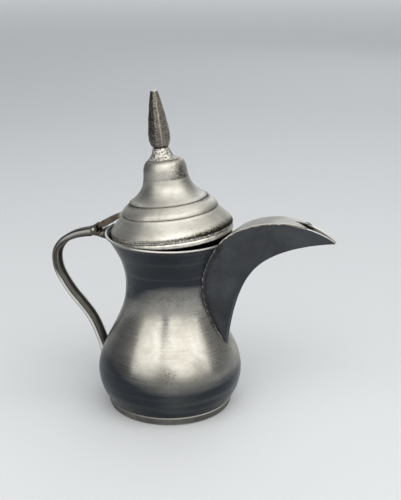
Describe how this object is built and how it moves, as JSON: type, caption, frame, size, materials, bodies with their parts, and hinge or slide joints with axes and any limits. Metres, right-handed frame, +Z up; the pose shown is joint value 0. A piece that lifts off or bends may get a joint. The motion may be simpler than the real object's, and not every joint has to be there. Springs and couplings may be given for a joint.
{
  "type": "dallah coffee pot",
  "caption": "Sheet-metal dallah coffee pot with a waisted body, folded beak spout, channel strap handle and hinged domed lid with a faceted finial.",
  "frame": {"origin": "centre of the foot ring's resting face, on the body's axis", "axes": "+Z up along the body's axis, +X towards the spout, -X towards the handle and hinge"},
  "size_m": [0.1439, 0.07, 0.1536],
  "materials": {
    "tinned_sheet": "satin, worn tin over sheet metal",
    "dark_sheet": "satin, slightly darker",
    "strap_metal": "tarnished",
    "solder": "rough solder",
    "pin_wire": "bright worn wire",
    "cast_metal": "dark pitted casting"
  },
  "bodies": {
    "pot": {"body_shell": "tinned_sheet", "base_plate": "tinned_sheet", "base_solder": "solder", "foot_ring": "tinned_sheet", "spout_cheek_left": "dark_sheet", "spout_cheek_right": "dark_sheet", "spout_roof": "tinned_sheet", "spout_keel_solder": "solder", "spout_root_solder": "solder", "handle_strap": "strap_metal", "handle_foot_solder": "solder", "hinge_bracket": "strap_metal", "hinge_solder": "solder", "hinge_pin": "pin_wire"},
    "lid": {"lid_tongue": "strap_metal", "lid_ring": "tinned_sheet", "lid_ring_solder": "solder", "lid_dome": "tinned_sheet", "finial_solder": "solder", "finial_tang": "pin_wire", "finial": "cast_metal"}
  },
  "joints": [
    {"name": "lid_hinge", "type": "hinge", "parent": "pot", "child": "lid", "pos_m": [-0.0388, 0, 0.0842], "axis": [0, -1, 0], "range_deg": [0, 100]}
  ]
}
